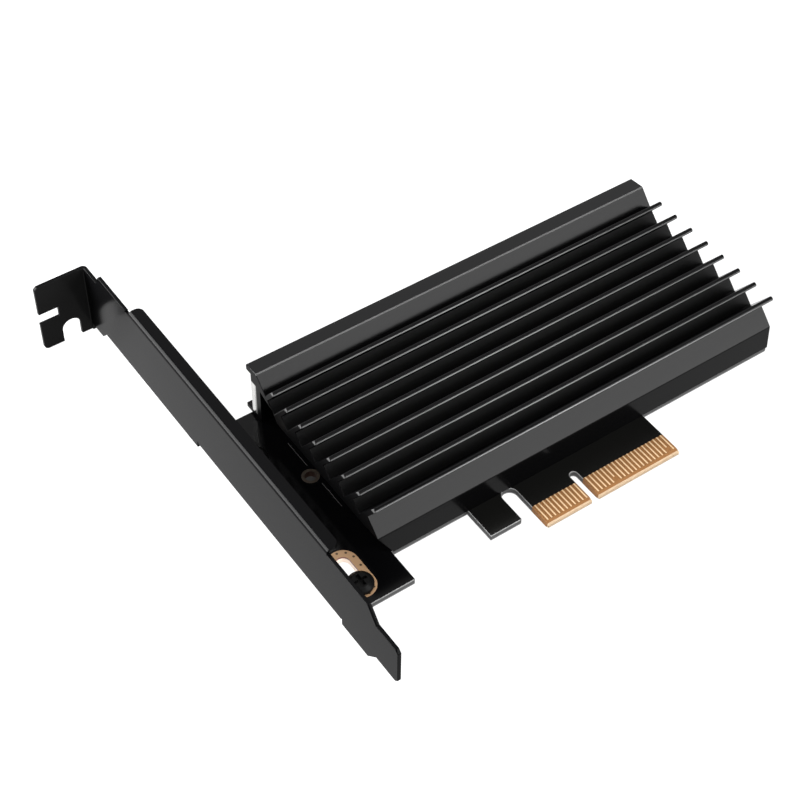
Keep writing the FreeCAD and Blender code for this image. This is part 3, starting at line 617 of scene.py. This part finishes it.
@dataclass(frozen=True)
class RingPlating(Finish):
    """Plated ring of the bracket slots, with small plated vias round the lower one."""

    via_color: Color = (0.05, 0.03, 0.015)
    lining_color: Color = (0.98, 0.82, 0.70)
    lip_color: Color = (0.20, 0.085, 0.07)
    lip_z: float = 1.2
    wall_facing: float = 0.5
    via_radius: float = 0.27
    via_out: float = 2.70
    via_side_y: float = 12.9
    slot_x: float = -51.5
    slot_ends: Span = (9.0, 15.1)
    via_angles: tuple[float, ...] = (6.0, 45.0, 84.0, 123.0, 162.0)

    def vias(self) -> list[Span]:
        """List the middles of the vias.

        Returns:
            Their places along and up the card, in millimetres.
        """
        low, high = self.slot_ends
        found = [(self.slot_x + side * self.via_out, self.via_side_y) for side in (-1, 1)]
        for angle in self.via_angles:
            x = self.slot_x + self.via_out * math.cos(math.radians(angle))
            up = self.via_out * math.sin(math.radians(angle))
            found += [(x, high + up), (x, low - up)]
        return found

    def material(self) -> bpy.types.Material:
        """Make the material.

        Returns:
            The material, ready for a slot.
        """
        graph = Graph(self.name)
        place, facing = graph.place(), graph.facing()
        dots: Input = 0.0
        for x, y in self.vias():
            across, along = place[Axis.X] - x, place[Axis.Y] - y
            dots = ((across * across + along * along) < self.via_radius ** 2) + dots
        face = graph.mix(dots, self.color, self.via_color)
        wall = graph.mix(place[Axis.Z] > self.lip_z, self.lining_color, self.lip_color)
        color = graph.mix(abs(facing[Axis.Z]) < self.wall_facing, face, wall)
        return graph.finish({**self.gloss(graph), "Base Color": color})


@dataclass(frozen=True)
class LightTable(Finish):
    """Pale floor that glows, except in the shade under the card."""

    shade_x: Span = (-56.0, 60.0)
    shade_y: Span = (21.0, 61.0)
    soft: float = 4.0

    def material(self) -> bpy.types.Material:
        """Make the material.

        Returns:
            The material, ready for a slot.
        """
        graph = Graph(self.name)
        place = graph.place()
        depths = [
            (high - low) / 2 - abs(place[axis] - (low + high) / 2)
            for axis, (low, high) in ((Axis.X, self.shade_x), (Axis.Y, self.shade_y))]
        shade = (graph.smaller(*depths) / self.soft).held()
        return graph.finish({
            **self.gloss(graph),
            "Base Color": (*self.color, 1.0),
            "Emission Color": graph.mix(1 - shade, (0.0, 0.0, 0.0), (1.0, 1.0, 1.0)),
        })


BLACK_EXTRUSION = Extrusion(
    "anodised_black", (0.0012, 0.0012, 0.0013), 0.18, level=0.065, spread=0.05,
    grain=(0.25 * MM, 0.25 * MM, 0.25 * MM), depth=0.0015 * MM)
BLACK_SHEET = CoatedSheet(
    "coated_black", (0.0011, 0.0011, 0.0012), 0.18, level=0.0205, spread=0.05,
    depth=0.0015 * MM)
MASK = SolderMask(
    "solder_mask", (0.0012, 0.0012, 0.0014), 0.15, level=0.06, spread=0.04,
    grain=(3 * MM, 3 * MM, 3 * MM), depth=0.01 * MM)
GOLD = FingerGold(
    "finger_gold", (0.47, 0.325, 0.19), 0.32, 0.3, level=0.25,
    grain=(0.3 * MM, 2 * MM, 0.3 * MM))
COPPER = RingPlating(
    "ring_plating", (0.34, 0.21, 0.115), 0.38, 0.3, level=0.25,
    grain=(0.6 * MM, 0.6 * MM, 0.6 * MM))
# hole plating darkened with painted shade, as it lies in shade beside the heatsink
SHADED_RING = Finish("hole_plating", (0.05, 0.04, 0.03), 0.40, 0.6)
BLACK_STEEL = Finish("black_steel", (0.003, 0.003, 0.003), 0.40, level=0.05, spread=0.10)
MOULDING = Finish("moulded_black", (0.012, 0.012, 0.012), 0.45)
CONTACT = Finish("contact_gold", (0.83, 0.62, 0.30), 0.25, 0.95)
TIN = Finish("tin", (0.62, 0.62, 0.60), 0.30, 0.95, grain=(0.2 * MM, 0.2 * MM, 0.2 * MM))
SILICONE = Finish("pad_silicone", (0.24, 0.27, 0.31), 0.75, depth=0.01 * MM)
CERAMIC = Finish("capacitor_ceramic", (0.34, 0.21, 0.12), 0.35)
RESISTOR = Finish("resistor_glaze", (0.010, 0.010, 0.012), 0.18)
FUSE = Finish("fuse_body", (0.05, 0.16, 0.07), 0.45)


@dataclass
class Assembly:
    """A sub-assembly of the card, built from nodes of the frame."""

    name: str = "assembly"
    weld: float = 0.002 * MM
    flat_angle: float = math.radians(1.0)
    sharp_angle: float = math.radians(25.0)
    face_weight: int = 100
    made: list[str] = field(default_factory=list)

    def dress(self, node: str, material: bpy.types.Material) -> None:
        """Give a node of the frame a material.

        Args:
            node: The node's name.
            material: The material for all its slots.
        """
        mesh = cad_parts[node].data
        mesh.materials.clear()
        mesh.materials.append(material)
        self.made.append(node)

    def merge_flats(self, node: str, name: str) -> bpy.types.Mesh:
        """Copy a node's mesh and join the triangles of each flat face.

        Args:
            node: The node's name.
            name: The copy's name.

        Returns:
            The new mesh.
        """
        mesh = bpy.data.meshes.new(name)
        shape = bmesh.new()
        shape.from_mesh(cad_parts[node].data)
        bmesh.ops.remove_doubles(shape, verts=shape.verts, dist=self.weld)
        bmesh.ops.dissolve_limit(
            shape, angle_limit=self.flat_angle, verts=shape.verts, edges=shape.edges)
        for face in shape.faces:
            face.smooth = True
        shape.to_mesh(mesh)
        shape.free()
        mesh.set_sharp_from_angle(angle=self.sharp_angle)
        return mesh

    def refine(
        self, node: str, material: bpy.types.Material, slot: str, round_to: float, steps: int = 2
    ) -> None:
        """Stand a copy with rounded edges in for a node of the frame.

        Args:
            node: The node's name.
            material: The copy's material.
            slot: A material slot's name; not used.
            round_to: Width of the rounding, in metres.
            steps: Segments in the rounding.
        """
        name = node + "_fine"
        mesh = self.merge_flats(node, name)
        mesh.materials.append(material)
        piece = bpy.data.objects.new(name, mesh)
        bpy.context.scene.collection.objects.link(piece)
        rounding = piece.modifiers.new("rounding", "BEVEL")
        rounding.width = round_to
        rounding.segments = steps
        rounding.limit_method = "ANGLE"
        rounding.angle_limit = self.sharp_angle
        rounding.use_clamp_overlap = False
        weighting = piece.modifiers.new("weighting", "WEIGHTED_NORMAL")
        weighting.weight = self.face_weight
        weighting.keep_sharp = True
        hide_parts(node)
        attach(piece, BODY)
        self.made.append(name)

    def build(self) -> None:
        """Dress and build the sub-assembly's pieces."""
        raise NotImplementedError

    def report(self) -> None:
        """Log each piece that was dressed or built."""
        for name in self.made:
            log.info("%s: %s", self.name, name)


@dataclass
class Board(Assembly):
    """The circuit board with its fingers and plated holes."""

    name: str = "board"
    edge: float = 0.06 * MM
    edge_steps: int = 1

    def build(self) -> None:
        """Round the board's edges and dress its fingers and rings."""
        self.refine("circuit_board", MASK.material(), "board", self.edge, self.edge_steps)
        gold = GOLD.material()
        self.dress("edge_fingers_front", gold)
        self.dress("edge_fingers_back", gold)
        self.dress("bracket_slot_plating", COPPER.material())
        self.dress("post_hole_plating", SHADED_RING.material())


@dataclass
class Heatsink(Assembly):
    """The extruded heatsink with its screws and its thermal pad."""

    name: str = "heatsink"
    edge: float = 0.12 * MM
    head_edge: float = 0.15 * MM

    def build(self) -> None:
        """Round the heatsink and its screws, and dress the pad."""
        self.refine("heatsink", BLACK_EXTRUSION.material(), "heatsink_black", self.edge)
        steel = BLACK_STEEL.material()
        for node in ("heatsink_screws_near", "heatsink_screws_far"):
            self.refine(node, steel, "screw_black", self.head_edge)
        self.dress("thermal_pad", SILICONE.material())


@dataclass
class SlotBracket(Assembly):
    """The folded slot bracket with its screws."""

    name: str = "bracket"
    edge: float = 0.10 * MM
    head_edge: float = 0.08 * MM

    def build(self) -> None:
        """Round the bracket and its screws."""
        self.refine("bracket", BLACK_SHEET.material(), "bracket_black", self.edge)
        self.refine("bracket_screws", BLACK_STEEL.material(), "screw_black", self.head_edge)


@dataclass
class DriveSocket(Assembly):
    """The drive socket with its contacts and anchor tabs."""

    name: str = "socket"
    edge: float = 0.10 * MM

    def build(self) -> None:
        """Round the housing and dress the contacts and anchors."""
        self.refine("drive_socket", MOULDING.material(), "socket_black", self.edge)
        gold = CONTACT.material()
        self.dress("drive_socket_front_contacts", gold)
        self.dress("drive_socket_rear_contacts", gold)
        self.dress("drive_socket_anchors", TIN.material())


@dataclass
class ChipParts(Assembly):
    """The chip parts behind the socket, each with two metal ends."""

    name: str = "chips"
    bodies: tuple[tuple[str, Finish], ...] = (
        ("reservoir_capacitors", CERAMIC),
        ("filter_capacitors", CERAMIC),
        ("resistors", RESISTOR),
        ("fuse", FUSE),
    )

    def build(self) -> None:
        """Dress the bodies and their metal ends."""
        tin = TIN.material()
        for node, finish in self.bodies:
            self.dress(node, finish.material())
            self.dress(node + "_ends", tin)


@dataclass(frozen=True)
class Softbox:
    """A square area light that looks at the card."""

    name: str
    toward: Point
    side: float
    radiance: float
    distance: float = 1.0

    def build(self, target: Vector) -> None:
        """Place the light.

        Args:
            target: The point that it looks at.
        """
        light = bpy.data.lights.new(self.name, "AREA")
        light.shape = "SQUARE"
        light.size = self.side
        light.energy = self.radiance * math.pi * self.side ** 2
        lamp = bpy.data.objects.new(self.name, light)
        toward = Vector(self.toward).normalized()
        lamp.location = target + toward * self.distance
        lamp.rotation_euler = toward.to_track_quat("Z", "Y").to_euler()
        bpy.context.scene.collection.objects.link(lamp)


@dataclass
class Studio:
    """Pale floor, softboxes and the camera of the photograph."""

    camera_at: Point = (-0.16763, -0.16681, 0.28915)
    camera_turn: Point = (42.003, -0.543, -34.796)
    lens: float = 82.14
    sensor: float = 36.0
    clip: Span = (0.01, 20.0)
    floor_side: float = 6.0
    floor_color: Color = (0.05, 0.05, 0.05)
    floor_rough: float = 0.9
    floor_glow: float = 1.0
    floor_gap: float = 0.02 * MM
    ambient: float = 0.22
    boxes: tuple[Softbox, ...] = (
        Softbox("key_box", (-0.30, -0.45, 0.84), 0.6, 6.5),
        Softbox("front_box", (0.44, -0.757, 0.44), 0.5, 14.5),
        Softbox("fold_box", (-0.743, 0.545, 0.388), 0.8, 48.0),
        Softbox("top_box", (0.388, 0.545, 0.743), 1.0, 2.1),
    )

    def build(self) -> None:
        """Add floor, lights, surroundings and camera."""
        low, high = cad_box
        self.build_floor(low[2] - self.floor_gap)
        for box in self.boxes:
            box.build((Vector(low) + Vector(high)) / 2)
        self.build_surroundings()
        self.build_camera()

    def build_floor(self, level: float) -> None:
        """Lay the floor under the card.

        Args:
            level: The height of the floor.
        """
        half = self.floor_side / 2
        corners = [(x * half, y * half, level) for x, y in ((-1, -1), (1, -1), (1, 1), (-1, 1))]
        mesh = bpy.data.meshes.new("floor")
        mesh.from_pydata(corners, [], [(0, 1, 2, 3)])
        finish = LightTable(
            "floor", self.floor_color, self.floor_rough, depth=0.0, glow=self.floor_glow)
        mesh.materials.append(finish.material())
        floor = bpy.data.objects.new("floor", mesh)
        bpy.context.scene.collection.objects.link(floor)

    def build_surroundings(self) -> None:
        """Fill the room with an even pale light."""
        world = bpy.data.worlds.new("surroundings")
        world.use_nodes = True
        background = world.node_tree.nodes["Background"]
        background.inputs["Color"].default_value = (1.0, 1.0, 1.0, 1.0)
        background.inputs["Strength"].default_value = self.ambient
        bpy.context.scene.world = world
        bpy.context.scene.view_settings.view_transform = "Standard"

    def build_camera(self) -> None:
        """Stand the camera where the photograph was taken."""
        lens = bpy.data.cameras.new("camera")
        lens.lens = self.lens
        lens.sensor_width = self.sensor
        lens.clip_start, lens.clip_end = self.clip
        camera = bpy.data.objects.new("camera", lens)
        camera.location = self.camera_at
        camera.rotation_euler = Euler([math.radians(angle) for angle in self.camera_turn], "XYZ")
        bpy.context.scene.collection.objects.link(camera)
        bpy.context.scene.camera = camera


def main() -> None:
    """Build every sub-assembly, then the studio."""
    logging.basicConfig(level=logging.INFO, format="%(message)s")
    for assembly in (Board(), Heatsink(), SlotBracket(), DriveSocket(), ChipParts()):
        assembly.build()
        assembly.report()
    Studio().build()


if __name__ == "__main__":
    main()
